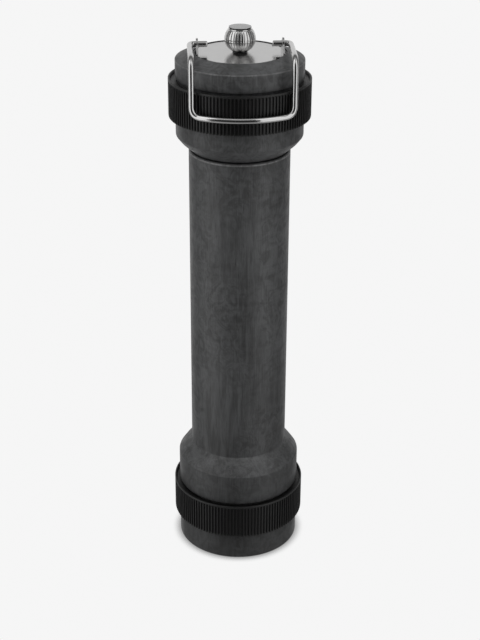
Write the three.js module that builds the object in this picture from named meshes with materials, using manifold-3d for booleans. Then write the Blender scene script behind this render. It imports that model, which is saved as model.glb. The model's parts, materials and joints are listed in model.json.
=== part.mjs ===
// A tall pepper mill in graphite wood: a turned body on a wide foot, a turning head with a wire bail,
// rubber grip rings on both, and the steel grinder, square shaft and adjusting knob that make it work.
// Millimetres, +Z up. The mill's axis is Z and its foot stands on z = 0. The bail hangs towards -Y.
import * as THREE from "three";
import { mergeVertices } from "three/addons/utils/BufferGeometryUtils.js";
import Module from "manifold-3d";

const wasm = await Module();
wasm.setup();

// ---- Driving dimensions ----
const TOTAL_HEIGHT = 300;
const GAP = 0.3; // between pieces that touch
const ROUND = 44; // sides of a large turned surface
const SMALL_ROUND = 24; // sides of a small one

// Wooden body
const FOOT_R = 34.1;
const FOOT_EDGE = 0.7;
const BASE_SHOULDER_Z = 53.6; // where the base's wall turns into its cone
const TUBE_START_Z = 62.3; // where the cone meets the tube
const TUBE_R = 26.75;
const CONE_CROWN = 0.5; // how far both cones stand out from a straight line
const SEAM_Z = 235.8; // the body's top face
const SEAM_BEVEL = 0.6;
const BORE_R = 17; // the pepper store
const POCKET_R = 19.3; // the grinder's pocket
const POCKET_TOP_Z = 23.4;
const FOOT_RECESS_R = 25;
const FOOT_RECESS_Z = 7.5;

// Rubber grip rings
const RING_R = 37;
const RING_HEIGHT = 20.4;
const RING_LOWER_Z = 15.7;
const RING_UPPER_Z = 253.8;
const RIBS = 126;
const RIB_DEPTH = 0.55;
const GROOVE_R = 32.4; // the groove in the wood that a ring sits in

// Wooden head
const HEAD_R = 33.35;
const HEAD_SHOULDER_Z = 244.1;
const HEAD_TOP_EDGE_Z = 283.9;
const HEAD_RIM_R = 23.9; // the recess that the top plate lies in
const HEAD_RIM_Z = 287.2;
const HEAD_EDGE = 1;
const SPIGOT_R = 16.6;
const SPIGOT_LENGTH = 10;
const SHAFT_BORE_R = 4.2;

// Steel top plate and its ears
const PLATE_TOP_Z = 286.8;
const PLATE_THICKNESS = 1.2;
const PLATE_R = 22.7;
const PLATE_HOLE_R = 3;
const TAB_START_X = 17.4; // past this the disc narrows to its tabs
const TAB_HALF_WIDTH = 10.7;
const TAB_CORNER_X = 20.4; // where a tab starts to narrow to its ear
const EAR_X = 21.9; // the middle of an ear's thickness
const EAR_THICKNESS = 1;
const EAR_HALF_WIDTH = 7.2;
const EAR_TOP_R = 3;

// Wire bail
const PIVOT_Z = 291.1;
const WIRE_R = 1.5;
const BAIL_TAIL_X = 17; // the wire's inner ends
const BAIL_LEG_X = 25.6;
const BAIL_LEG_Y = -30.4;
const BAIL_BAR_Z = 262.4;
const BAIL_BOW_Y = -38.65; // the middle of the bowed bar
const BAIL_EAR_BEND = 2.6;
const BAIL_KNEE_BEND = 8;
const BAIL_CORNER_BEND = 5.2;

// Square shaft, grinder and knob
const SHAFT_FLAT = 5;
const SQUARE_HOLE = SHAFT_FLAT + 2 * GAP;
const SHAFT_SQUARE_Z = [8.5, 276];
const SHAFT_END_Z = [3.2, 296.5];
const THREAD_R = 2.4;
const THREAD_BORE_R = THREAD_R + GAP;
const ROTOR_Z = [8.6, 22.4];
const ROTOR_R = [13.5, 8.6]; // at the bottom and at the top, over the teeth
const ROTOR_TEETH = 14;
const STATOR_R = 19;
const STATOR_Z = [FOOT_RECESS_Z, POCKET_TOP_Z - GAP];
const STATOR_CONE_R = [14.25, 8.7]; // at the bottom and at the top, inside the teeth
const STATOR_TEETH = 18;
const STATOR_MOUTH_R = 13.4;
const TOOTH_DEPTH = 0.8;
const TOOTH_SIDES = 3; // flat strips in one tooth
const TOOTH_TWIST = 0.7; // radians from the bottom to the top
const KNOB_FOOT_Z = PLATE_TOP_Z + GAP;
const KNOB_NECK_R = 3.7;
const KNOB_R = 8;
const KNOB_NECK_HEIGHT = 0.6;
const KNOB_WIDE_Z = 293.5;
const KNOB_BELOW = 6.9; // the ball's half height, from its widest place down
const KNOB_ABOVE = 8.1; // and up
const KNOB_TOP_Z = 299.2;
const KNOB_FLUTES = 28;
const FLUTE_DEPTH = 0.35;
const LIP_R = 6; // the plain ring round the knob's top
const LIP_HEIGHT = 0.5;
const CAP_R = 5.75;
const CAP_STEM = 1.3;

// Plates, screws, stirrup, bush and spring inside
const SIDES = [-1, 1];
const RETAINING_PLATE = { outer: 24.4, inner: 15.4, top: FOOT_RECESS_Z - GAP, thickness: 1.2 };
const RETAINING_SCREW = { x: 21.6, headR: 2.1, headHeight: 1.1, shankR: 1.1, pilotR: 1.4, tip: 15 };
const STIRRUP = {
  outerX: 15.4,
  sheet: 1.6,
  width: 13,
  footZ: POCKET_TOP_Z,
  bridgeTop: 36.9,
  holeR: 5.2,
  chamfer: 1,
};
const BUSH = {
  bore: 3.9,
  outer: STIRRUP.holeR - GAP,
  flangeR: 6.6,
  flangeTop: STIRRUP.bridgeTop - STIRRUP.sheet - GAP,
  flange: 0.6,
  proud: 0.6,
};
const THRUST_WASHER_TOP = BUSH.flangeTop - BUSH.flange - GAP;
const THRUST_WASHER_BOTTOM = THRUST_WASHER_TOP - 1;
const SPRING = { wireR: 0.55, coilR: 4.7, turns: 4, sides: 6, stepsPerTurn: 14 };
const ROTOR_WASHER = { outer: 6.5, top: ROTOR_Z[0] - GAP, thickness: 0.9 };
const NUT = { acrossFlats: 8, top: ROTOR_WASHER.top - ROTOR_WASHER.thickness - GAP, bottom: 3.7 };
const HEAD_BOTTOM_Z = SEAM_Z + GAP;
const SPIGOT_END_Z = HEAD_BOTTOM_Z - SPIGOT_LENGTH;
const DRIVE_PLATE = { outer: 13, top: SPIGOT_END_Z - GAP, thickness: 1.2 };
const DRIVE_SCREW = { x: 9, headR: 1.9, headHeight: 1, shankR: 1, pilotR: 1.3, tip: SPIGOT_END_Z + 7 };
const PILOT_SIDES = 12;
const SCREW_SIDES = 16;
const THREAD_SIDES = 20;

// ---- Materials ----
const graphiteWood = new THREE.MeshStandardMaterial({ color: 0x3b3c3e, roughness: 0.55, metalness: 0 });
const blackRubber = new THREE.MeshStandardMaterial({ color: 0x131313, roughness: 0.7, metalness: 0 });
const brushedSteel = new THREE.MeshStandardMaterial({ color: 0xc4c4c1, roughness: 0.35, metalness: 1 });
const polishedSteel = new THREE.MeshStandardMaterial({ color: 0xd8d8d6, roughness: 0.15, metalness: 1 });
const chromePlate = new THREE.MeshStandardMaterial({ color: 0xdddddd, roughness: 0.08, metalness: 1 });
const hardenedSteel = new THREE.MeshStandardMaterial({ color: 0x6f7073, roughness: 0.45, metalness: 1 });
const springSteel = new THREE.MeshStandardMaterial({ color: 0x9a9b9d, roughness: 0.3, metalness: 1 });
const aluminium = new THREE.MeshStandardMaterial({ color: 0xb9babb, roughness: 0.4, metalness: 1 });
const blackPlastic = new THREE.MeshStandardMaterial({ color: 0x1c1c1d, roughness: 0.5, metalness: 0 });

// ---- Solids and their booleans ----
function solidOf(geometry) {
  const bare = geometry.clone();
  bare.deleteAttribute("normal");
  bare.deleteAttribute("uv");
  const welded = mergeVertices(bare);
  return new wasm.Manifold(
    new wasm.Mesh({
      numProp: 3,
      vertProperties: welded.attributes.position.array,
      triVerts: new Uint32Array(welded.index.array),
    }),
  );
}

function geometryOf(solid) {
  const mesh = solid.getMesh();
  const geometry = new THREE.BufferGeometry();
  geometry.setAttribute("position", new THREE.BufferAttribute(mesh.vertProperties, 3));
  geometry.setIndex(new THREE.BufferAttribute(mesh.triVerts, 1));
  geometry.computeVertexNormals();
  return geometry;
}

const joined = (first, ...others) =>
  geometryOf(others.reduce((sum, other) => sum.add(solidOf(other)), solidOf(first)));
const cut = (body, ...tools) =>
  geometryOf(tools.reduce((rest, tool) => rest.subtract(solidOf(tool)), solidOf(body)));

// ---- Shapes used by several pieces ----
// A profile of [radius, z] points turned about Z; it runs up the outside and back down the inside.
function turned(profile, sides = ROUND) {
  const points = profile.map(([r, z]) => new THREE.Vector2(r, z));
  const isOpen = profile[0][0] > 0 || profile.at(-1)[0] > 0;
  if (isOpen) points.push(points[0].clone());
  return new THREE.LatheGeometry(points, sides).rotateX(Math.PI / 2);
}

function cylinder(radius, bottom, top, sides = SMALL_ROUND) {
  return new THREE.CylinderGeometry(radius, radius, top - bottom, sides)
    .rotateX(Math.PI / 2)
    .translate(0, 0, (bottom + top) / 2);
}

function washer(outer, inner, bottom, top, sides = SMALL_ROUND) {
  return turned([[inner, bottom], [outer, bottom], [outer, top], [inner, top]], sides);
}

function squareBar(flat, bottom, top) {
  return new THREE.BoxGeometry(flat, flat, top - bottom).translate(0, 0, (bottom + top) / 2);
}

// The points of a rounded corner from one [r, z] point to another, as a quarter of an ellipse.
function corner([r0, z0], [r1, z1], bulgeFirst, steps = 4) {
  return Array.from({ length: steps + 1 }, (_, i) => {
    const turn = ((i / steps) * Math.PI) / 2;
    const along = bulgeFirst === "r" ? Math.sin(turn) : 1 - Math.cos(turn);
    const up = bulgeFirst === "r" ? 1 - Math.cos(turn) : Math.sin(turn);
    return [r0 + (r1 - r0) * along, z0 + (z1 - z0) * up];
  });
}

// A point halfway along a cone, crowned outwards.
function crown([r0, z0], [r1, z1]) {
  const length = Math.hypot(r1 - r0, z1 - z0);
  const outR = (z1 - z0) / length;
  const outZ = (r0 - r1) / length;
  return [(r0 + r1) / 2 + outR * CONE_CROWN, (z0 + z1) / 2 + outZ * CONE_CROWN];
}

// A cone whose side is waved into slanting teeth, depth deep at the bottom and the top alike.
function toothedCone(bottomR, topR, bottom, top, teeth, depth) {
  const height = top - bottom;
  const geometry = new THREE.CylinderGeometry(topR, bottomR, height, teeth * TOOTH_SIDES, 3);
  const position = geometry.attributes.position;
  for (let i = 0; i < position.count; i++) {
    const [x, y, z] = [position.getX(i), position.getY(i), position.getZ(i)];
    const radius = Math.hypot(x, z);
    if (radius < 1) continue;
    const slant = TOOTH_TWIST * (y / height + 0.5);
    const wave = (1 + Math.cos(teeth * (Math.atan2(z, x) + slant))) / 2;
    const scale = 1 + (depth * wave) / radius;
    position.setXYZ(i, x * scale, y, z * scale);
  }
  return geometry.rotateX(Math.PI / 2).translate(0, 0, (bottom + top) / 2);
}

// The holes for a pair of screws, on both sides of the axis.
function screwHoles({ x, pilotR }, bottom, top) {
  return SIDES.map((side) => cylinder(pilotR, bottom, top, PILOT_SIDES).translate(side * x, 0, 0));
}

// ---- Body ----
function woodBody() {
  const shoulder = [FOOT_R, BASE_SHOULDER_Z];
  const neck = [TUBE_R, TUBE_START_Z];
  const ringTop = RING_LOWER_Z + RING_HEIGHT;
  const profile = [
    [FOOT_RECESS_R, 0],
    [FOOT_R - FOOT_EDGE, 0],
    [FOOT_R, FOOT_EDGE],
    [FOOT_R, RING_LOWER_Z - GAP],
    [GROOVE_R, RING_LOWER_Z - GAP],
    [GROOVE_R, ringTop + GAP],
    [FOOT_R, ringTop + GAP],
    ...corner([FOOT_R, BASE_SHOULDER_Z - 0.5], [FOOT_R - 0.4, BASE_SHOULDER_Z + 0.5], "z", 2),
    crown(shoulder, neck),
    [TUBE_R + 0.35, TUBE_START_Z - 0.45],
    [TUBE_R, TUBE_START_Z + 0.8],
    [TUBE_R, SEAM_Z - SEAM_BEVEL],
    [TUBE_R - SEAM_BEVEL, SEAM_Z],
    [BORE_R, SEAM_Z],
    [BORE_R, POCKET_TOP_Z],
    [POCKET_R, POCKET_TOP_Z],
    [POCKET_R, FOOT_RECESS_Z],
    [FOOT_RECESS_R, FOOT_RECESS_Z],
  ];
  return cut(turned(profile), ...screwHoles(RETAINING_SCREW, FOOT_RECESS_Z - 1, RETAINING_SCREW.tip + 1));
}

// A rubber ring with V-ribs all round.
function gripRing(bottom) {
  const outline = new THREE.Shape();
  for (let i = 0; i < 2 * RIBS; i++) {
    const angle = (i / RIBS) * Math.PI;
    const radius = i % 2 ? RING_R - RIB_DEPTH : RING_R;
    outline[i ? "lineTo" : "moveTo"](radius * Math.cos(angle), radius * Math.sin(angle));
  }
  outline.closePath();
  outline.holes.push(new THREE.Path().absarc(0, 0, GROOVE_R + GAP, 0, 2 * Math.PI, true));
  return new THREE.ExtrudeGeometry(outline, {
    depth: RING_HEIGHT,
    bevelEnabled: false,
    curveSegments: ROUND,
  }).translate(0, 0, bottom);
}

function statorRing() {
  const [bottom, top] = STATOR_Z;
  const ring = cylinder(STATOR_R, bottom, top, ROUND);
  const [coneBottomR, coneTopR] = STATOR_CONE_R;
  const teeth = toothedCone(coneBottomR, coneTopR, bottom - 0.5, top + 0.5, STATOR_TEETH, TOOTH_DEPTH);
  const mouth = turned([[0, top - 3.6], [coneTopR, top - 3.6], [STATOR_MOUTH_R + 1, top + 1], [0, top + 1]]);
  return cut(ring, teeth, mouth);
}

// The annular plate that holds the stator up in its pocket, and its two screws.
function retainingPlate() {
  const { outer, inner, top, thickness } = RETAINING_PLATE;
  const plate = washer(outer, inner, top - thickness, top, ROUND);
  return cut(plate, ...screwHoles(RETAINING_SCREW, top - 2 * thickness, top + thickness));
}

// A pan-head screw pointing up, its head's top under z = headTop, with a slot across the head.
function screw({ headR, headHeight, shankR, tip }, headTop) {
  const bottom = headTop - headHeight;
  const turnedScrew = turned([
    [0, bottom],
    [headR * 0.75, bottom],
    [headR, bottom + headHeight * 0.4],
    [headR, headTop],
    [shankR, headTop],
    [shankR, tip - shankR],
    [0, tip],
  ], SCREW_SIDES);
  const slot = new THREE.BoxGeometry(2.4 * headR, 0.5, 0.8).translate(0, 0, bottom);
  return cut(turnedScrew, slot);
}

// The stirrup over the grinder: a bridge across the pocket on two legs that stand on the stator.
function guideStirrup() {
  const { outerX, sheet, width, footZ, bridgeTop, holeR, chamfer } = STIRRUP;
  const outline = new THREE.Shape([
    new THREE.Vector2(-outerX, footZ),
    new THREE.Vector2(-outerX + sheet, footZ),
    new THREE.Vector2(-outerX + sheet, bridgeTop - sheet),
    new THREE.Vector2(outerX - sheet, bridgeTop - sheet),
    new THREE.Vector2(outerX - sheet, footZ),
    new THREE.Vector2(outerX, footZ),
    new THREE.Vector2(outerX, bridgeTop - chamfer),
    new THREE.Vector2(outerX - chamfer, bridgeTop),
    new THREE.Vector2(-outerX + chamfer, bridgeTop),
    new THREE.Vector2(-outerX, bridgeTop - chamfer),
  ]);
  const strip = new THREE.ExtrudeGeometry(outline, { depth: width, bevelEnabled: false })
    .rotateX(Math.PI / 2)
    .translate(0, width / 2, 0);
  return cut(strip, cylinder(holeR, bridgeTop - 2 * sheet, bridgeTop + sheet));
}

function guideBush() {
  const flangeBottom = BUSH.flangeTop - BUSH.flange;
  const top = STIRRUP.bridgeTop + BUSH.proud;
  return turned([
    [BUSH.bore, flangeBottom],
    [BUSH.flangeR, flangeBottom],
    [BUSH.flangeR, BUSH.flangeTop],
    [BUSH.outer, BUSH.flangeTop],
    [BUSH.outer, top],
    [BUSH.bore, top],
  ], SMALL_ROUND);
}

// ---- Thrust washer and spring, which turn with the shaft but don't slide with it ----
function thrustWasher() {
  const disc = cylinder(BUSH.flangeR, THRUST_WASHER_BOTTOM, THRUST_WASHER_TOP);
  return cut(disc, squareBar(SQUARE_HOLE, THRUST_WASHER_BOTTOM - 1, THRUST_WASHER_TOP + 1));
}

class Helix extends THREE.Curve {
  getPoint(t, target = new THREE.Vector3()) {
    const low = ROTOR_Z[1] + GAP + SPRING.wireR;
    const high = THRUST_WASHER_BOTTOM - GAP - SPRING.wireR;
    const angle = t * SPRING.turns * 2 * Math.PI;
    return target.set(SPRING.coilR * Math.cos(angle), SPRING.coilR * Math.sin(angle), low + t * (high - low));
  }
}

function wireAlong(path, radius, sides, steps) {
  const section = new THREE.Shape(
    Array.from({ length: sides }, (_, i) => {
      const angle = (i / sides) * 2 * Math.PI;
      return new THREE.Vector2(radius * Math.cos(angle), radius * Math.sin(angle));
    }),
  );
  return new THREE.ExtrudeGeometry(section, { steps, extrudePath: path, bevelEnabled: false });
}

function grindSpring() {
  return wireAlong(new Helix(), SPRING.wireR, SPRING.sides, SPRING.turns * SPRING.stepsPerTurn);
}

// ---- Spindle ----
function squareShaft() {
  const [squareBottom, squareTop] = SHAFT_SQUARE_Z;
  const [end, tip] = SHAFT_END_Z;
  const square = squareBar(SHAFT_FLAT, squareBottom, squareTop);
  const lowerThread = cylinder(THREAD_R, end, squareBottom + 1, THREAD_SIDES);
  const upperThread = cylinder(THREAD_R, squareTop - 1, tip, THREAD_SIDES);
  return joined(square, lowerThread, upperThread);
}

function grinderRotor() {
  const [bottom, top] = ROTOR_Z;
  const [bottomR, topR] = ROTOR_R;
  const cone = toothedCone(bottomR - TOOTH_DEPTH, topR - TOOTH_DEPTH, bottom, top, ROTOR_TEETH, TOOTH_DEPTH);
  return cut(cone, squareBar(SQUARE_HOLE, bottom - 1, top + 1));
}

function rotorWasher() {
  const { outer, top, thickness } = ROTOR_WASHER;
  return washer(outer, SHAFT_FLAT / Math.SQRT2 + GAP, top - thickness, top);
}

function rotorNut() {
  const cornerR = NUT.acrossFlats / Math.sqrt(3);
  const hexagon = cylinder(cornerR, NUT.bottom, NUT.top, 6);
  return cut(hexagon, cylinder(THREAD_BORE_R, NUT.bottom - 1, NUT.top + 1, THREAD_SIDES));
}

// ---- Head ----
function woodHead() {
  const neck = [TUBE_R, HEAD_BOTTOM_Z + SEAM_BEVEL];
  const shoulder = [HEAD_R, HEAD_SHOULDER_Z];
  const ringTop = RING_UPPER_Z + RING_HEIGHT;
  const recessFloor = PLATE_TOP_Z - PLATE_THICKNESS - GAP;
  const profile = [
    [SHAFT_BORE_R, SPIGOT_END_Z],
    [SPIGOT_R, SPIGOT_END_Z],
    [SPIGOT_R, HEAD_BOTTOM_Z],
    [TUBE_R - SEAM_BEVEL, HEAD_BOTTOM_Z],
    neck,
    crown(neck, shoulder),
    [HEAD_R - 0.15, HEAD_SHOULDER_Z - 0.3],
    [HEAD_R, HEAD_SHOULDER_Z + 0.3],
    [HEAD_R, RING_UPPER_Z - GAP],
    [GROOVE_R, RING_UPPER_Z - GAP],
    [GROOVE_R, ringTop + GAP],
    [HEAD_R, ringTop + GAP],
    ...corner([HEAD_R, HEAD_TOP_EDGE_Z - HEAD_EDGE], [HEAD_R - HEAD_EDGE, HEAD_TOP_EDGE_Z + 0.2], "z", 3),
    [HEAD_RIM_R + 0.5, HEAD_RIM_Z],
    [HEAD_RIM_R, HEAD_RIM_Z - 0.3],
    [HEAD_RIM_R, recessFloor],
    [SHAFT_BORE_R, recessFloor],
  ];
  return cut(turned(profile), ...screwHoles(DRIVE_SCREW, SPIGOT_END_Z - 1, DRIVE_SCREW.tip + 1));
}

function drivePlate() {
  const { outer, top, thickness } = DRIVE_PLATE;
  const disc = cylinder(outer, top - thickness, top, SMALL_ROUND);
  const square = squareBar(SQUARE_HOLE, top - 2 * thickness, top + thickness);
  return cut(disc, square, ...screwHoles(DRIVE_SCREW, top - 2 * thickness, top + thickness));
}

// The disc with its two tabs, and an ear bent up from each tab for the bail.
function topPlate() {
  const arcAngle = Math.acos(TAB_START_X / PLATE_R);
  const bottom = PLATE_TOP_Z - PLATE_THICKNESS;
  const tabEnd = EAR_X + EAR_THICKNESS / 2;
  const outline = new THREE.Shape();
  for (const side of [1, -1]) {
    outline[side > 0 ? "moveTo" : "lineTo"](side * tabEnd, -side * EAR_HALF_WIDTH);
    outline.lineTo(side * tabEnd, side * EAR_HALF_WIDTH);
    outline.lineTo(side * TAB_CORNER_X, side * TAB_HALF_WIDTH);
    outline.lineTo(side * TAB_START_X, side * TAB_HALF_WIDTH);
    const from = side > 0 ? arcAngle : Math.PI + arcAngle;
    outline.absarc(0, 0, PLATE_R, from, from + Math.PI - 2 * arcAngle, false);
    outline.lineTo(-side * TAB_START_X, side * TAB_HALF_WIDTH);
    outline.lineTo(-side * TAB_CORNER_X, side * TAB_HALF_WIDTH);
  }
  outline.closePath();
  const disc = new THREE.ExtrudeGeometry(outline, {
    depth: PLATE_THICKNESS,
    bevelEnabled: false,
    curveSegments: ROUND / 4,
  }).translate(0, 0, bottom);
  const tools = [
    cylinder(PLATE_HOLE_R, bottom - 1, PLATE_TOP_Z + 1),
    new THREE.CylinderGeometry(WIRE_R + GAP, WIRE_R + GAP, 4 * EAR_X, 20)
      .rotateZ(Math.PI / 2)
      .translate(0, 0, PIVOT_Z),
  ];
  const plate = joined(disc, ...SIDES.map((side) => ear(side, bottom)));
  return cut(plate, ...tools);
}

// One ear, standing across X: wide at its foot and round at its top.
function ear(side, bottom) {
  const outline = new THREE.Shape();
  outline.moveTo(-EAR_HALF_WIDTH, bottom);
  outline.lineTo(EAR_HALF_WIDTH, bottom);
  outline.lineTo(EAR_HALF_WIDTH, PLATE_TOP_Z + 0.8);
  outline.lineTo(EAR_TOP_R, PIVOT_Z);
  outline.absarc(0, PIVOT_Z, EAR_TOP_R, 0, Math.PI, false);
  outline.lineTo(-EAR_HALF_WIDTH, PLATE_TOP_Z + 0.8);
  outline.closePath();
  return new THREE.ExtrudeGeometry(outline, {
    depth: EAR_THICKNESS,
    bevelEnabled: false,
    curveSegments: 10,
  })
    .rotateX(Math.PI / 2)
    .rotateZ(Math.PI / 2)
    .translate(side * EAR_X - EAR_THICKNESS / 2, 0, 0);
}

// ---- Bail ----
// Straight runs joined by round bends: each corner point has the length its bend takes from both runs.
function bentWirePath(corners) {
  const path = new THREE.CurvePath();
  let from = corners[0].point;
  for (let i = 1; i < corners.length; i++) {
    const { point, bend = 0 } = corners[i];
    const towards = point.clone().sub(from).normalize();
    const bendStart = point.clone().addScaledVector(towards, -bend);
    path.add(new THREE.LineCurve3(from, bendStart));
    from = bendStart;
    if (!bend) continue;
    const away = corners[i + 1].point.clone().sub(point).normalize();
    const bendEnd = point.clone().addScaledVector(away, bend);
    path.add(new THREE.QuadraticBezierCurve3(bendStart, point, bendEnd));
    from = bendEnd;
  }
  return path;
}

function bailHandle() {
  const bowPoints = 5;
  const half = [
    { point: new THREE.Vector3(-BAIL_TAIL_X, 0, PIVOT_Z) },
    { point: new THREE.Vector3(-BAIL_LEG_X, 0, PIVOT_Z), bend: BAIL_EAR_BEND },
    { point: new THREE.Vector3(-BAIL_LEG_X, BAIL_LEG_Y, PIVOT_Z), bend: BAIL_KNEE_BEND },
    { point: new THREE.Vector3(-BAIL_LEG_X, BAIL_LEG_Y, BAIL_BAR_Z), bend: BAIL_CORNER_BEND },
  ];
  const bow = Array.from({ length: bowPoints }, (_, i) => {
    const across = (2 * (i + 1)) / (bowPoints + 1) - 1;
    const y = BAIL_BOW_Y + (BAIL_LEG_Y - BAIL_BOW_Y) * across ** 2;
    return { point: new THREE.Vector3(across * BAIL_LEG_X, y, BAIL_BAR_Z), bend: 2 };
  });
  const mirrored = half.toReversed().map(({ point, bend }) => ({
    point: new THREE.Vector3(-point.x, point.y, point.z),
    bend,
  }));
  return wireAlong(bentWirePath([...half, ...bow, ...mirrored]), WIRE_R, 8, 76);
}

// ---- Knob ----
// The ball's side from a height away from its widest place, up or down, to that place.
function ballSide(away, halfHeight, steps) {
  const start = Math.asin(Math.abs(away) / halfHeight);
  return Array.from({ length: steps + 1 }, (_, i) => {
    const turn = start * (1 - i / steps);
    return [KNOB_R * Math.cos(turn), KNOB_WIDE_Z + Math.sign(away) * halfHeight * Math.sin(turn)];
  });
}

// A ball, flattened above and below, whose side is waved into flutes that fade towards both ends.
function knob() {
  const neckTop = KNOB_FOOT_Z + KNOB_NECK_HEIGHT;
  const lipFoot = KNOB_TOP_Z - LIP_HEIGHT;
  const wall = [
    [KNOB_NECK_R, KNOB_FOOT_Z],
    [KNOB_NECK_R, neckTop - 0.1],
    ...ballSide(neckTop - KNOB_WIDE_Z, KNOB_BELOW, 5),
    ...ballSide(lipFoot - KNOB_WIDE_Z, KNOB_ABOVE, 5).toReversed().slice(1),
    [LIP_R, lipFoot + 0.1],
    [LIP_R, KNOB_TOP_Z],
  ];
  const profile = [...wall, [THREAD_BORE_R, KNOB_TOP_Z], [THREAD_BORE_R, KNOB_FOOT_Z]];
  const geometry = turned(profile, KNOB_FLUTES * 2);
  const position = geometry.attributes.position;
  for (let i = 0; i < position.count; i++) {
    const [x, y, z] = [position.getX(i), position.getY(i), position.getZ(i)];
    const radius = Math.hypot(x, y);
    const proud = Math.max(0, radius - LIP_R) / (KNOB_R - LIP_R);
    const wave = (1 + Math.cos(KNOB_FLUTES * Math.atan2(y, x))) / 2;
    const scale = 1 - (FLUTE_DEPTH * Math.min(1, 2 * proud) * wave) / radius;
    position.setXYZ(i, x * scale, y * scale, z);
  }
  return geometry;
}

// The flat insert in the knob's top, on a short stem.
function knobCap() {
  const bottom = KNOB_TOP_Z + GAP;
  const stemR = THREAD_BORE_R - GAP;
  return turned([
    [0, bottom - CAP_STEM],
    [stemR, bottom - CAP_STEM],
    [stemR, bottom],
    [CAP_R - 0.1, bottom],
    [CAP_R, bottom + 0.1],
    [CAP_R, TOTAL_HEIGHT - 0.1],
    [CAP_R - 0.2, TOTAL_HEIGHT],
    [0, TOTAL_HEIGHT],
  ], SMALL_ROUND);
}

// ---- Assembly ----
function piece(name, geometry, material, x = 0) {
  const mesh = new THREE.Mesh(geometry, material);
  mesh.name = name;
  mesh.position.x = x;
  return mesh;
}

// A screw on each side of the axis, named for its side.
function screwPair(name, size, headTop) {
  return SIDES.map((side) => {
    const fullName = name + (side < 0 ? "_left" : "_right");
    return piece(fullName, screw(size, headTop), polishedSteel, side * size.x);
  });
}

function bodyGroup() {
  const group = new THREE.Group();
  const screwTop = RETAINING_PLATE.top - RETAINING_PLATE.thickness - GAP;
  group.add(
    piece("wood_body", woodBody(), graphiteWood),
    piece("lower_grip_ring", gripRing(RING_LOWER_Z), blackRubber),
    piece("stator_ring", statorRing(), hardenedSteel),
    piece("retaining_plate", retainingPlate(), brushedSteel),
    ...screwPair("retaining_screw", RETAINING_SCREW, screwTop),
    piece("guide_stirrup", guideStirrup(), brushedSteel),
    piece("guide_bush", guideBush(), blackPlastic),
  );
  return group;
}

function spindleGroup() {
  const group = new THREE.Group();
  group.add(
    piece("thrust_washer", thrustWasher(), polishedSteel),
    piece("grind_spring", grindSpring(), springSteel),
    piece("square_shaft", squareShaft(), aluminium),
    piece("grinder_rotor", grinderRotor(), hardenedSteel),
    piece("rotor_washer", rotorWasher(), polishedSteel),
    piece("rotor_nut", rotorNut(), polishedSteel),
  );
  return group;
}

function headGroup() {
  const group = new THREE.Group();
  const screwTop = DRIVE_PLATE.top - DRIVE_PLATE.thickness - GAP;
  group.add(
    piece("wood_head", woodHead(), graphiteWood),
    piece("upper_grip_ring", gripRing(RING_UPPER_Z), blackRubber),
    piece("drive_plate", drivePlate(), brushedSteel),
    ...screwPair("drive_plate_screw", DRIVE_SCREW, screwTop),
    piece("top_plate", topPlate(), brushedSteel),
    piece("bail_handle", bailHandle(), polishedSteel),
    piece("adjusting_knob", knob(), chromePlate),
    piece("knob_cap", knobCap(), chromePlate),
  );
  return group;
}

const pepperMill = new THREE.Group();
pepperMill.add(bodyGroup(), spindleGroup(), headGroup());

export default pepperMill;
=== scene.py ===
"""A tall graphite wood pepper mill: its visible surfaces, finishes, light and camera."""
import json
import math

import bmesh
import bpy
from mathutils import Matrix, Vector


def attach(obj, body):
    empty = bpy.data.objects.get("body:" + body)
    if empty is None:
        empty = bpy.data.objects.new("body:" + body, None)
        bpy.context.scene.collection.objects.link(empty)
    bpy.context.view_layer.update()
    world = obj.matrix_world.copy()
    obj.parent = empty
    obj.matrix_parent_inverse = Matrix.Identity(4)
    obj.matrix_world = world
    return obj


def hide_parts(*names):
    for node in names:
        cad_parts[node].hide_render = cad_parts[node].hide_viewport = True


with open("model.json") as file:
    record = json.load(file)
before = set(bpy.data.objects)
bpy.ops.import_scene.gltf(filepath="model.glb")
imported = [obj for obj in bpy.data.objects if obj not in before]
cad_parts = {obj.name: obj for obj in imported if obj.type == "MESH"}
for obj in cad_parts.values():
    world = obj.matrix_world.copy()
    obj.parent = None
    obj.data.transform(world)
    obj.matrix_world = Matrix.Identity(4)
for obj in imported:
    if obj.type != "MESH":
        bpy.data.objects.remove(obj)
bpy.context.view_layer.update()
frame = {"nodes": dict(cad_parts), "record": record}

MM = 0.001
FINE = 256  # sides of a large turned surface
MEDIUM = 96  # sides of a small one

# ---- Sizes, in millimetres, as in the CAD where it has the same feature ----
GAP = 0.3
FOOT_R = 34.1
BASE_SHOULDER_Z = 53.6
TUBE_START_Z = 62.3
TUBE_R = 26.75
SEAM_Z = 235.8
SEAM_BEVEL = 0.6
SEAM_UNDERCUT = 1  # the head's bevel over the seam
SEAM_STEP = 0.4  # how far the head's outer part stands over the part that it turns on
SEAM_STEP_R = TUBE_R - 5
CONE_BULGE = 0.35  # how far the middle of a cone stands out
CONE_ROUND = 12
BORE_R = 17
POCKET_R = 19.3
POCKET_TOP_Z = 23.4
FOOT_RECESS_R = 25
FOOT_RECESS_Z = 7.5
RING_R = 37
RING_HEIGHT = 20.4
RING_LOWER_Z = 15.7
RING_UPPER_Z = 253.8
RIBS = 126
RIB_DEPTH = 0.85
GROOVE_R = 32.4
HEAD_R = 33.35
HEAD_SHOULDER_Z = 244.1
HEAD_TOP_EDGE_Z = 283.9
HEAD_RIM_R = 23.9
HEAD_RIM_Z = 287.2
SPIGOT_R = 16.6
SPIGOT_LENGTH = 10
SHAFT_BORE_R = 4.2
PLATE_TOP_Z = 286.8
PLATE_THICKNESS = 1.2
PLATE_R = 22.7
PLATE_HOLE_R = 3
LEDGE_R = 22.95  # the close-fitting part of the head's pocket, round the disc
LEDGE_DEPTH = 0.2  # under the disc's face
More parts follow.
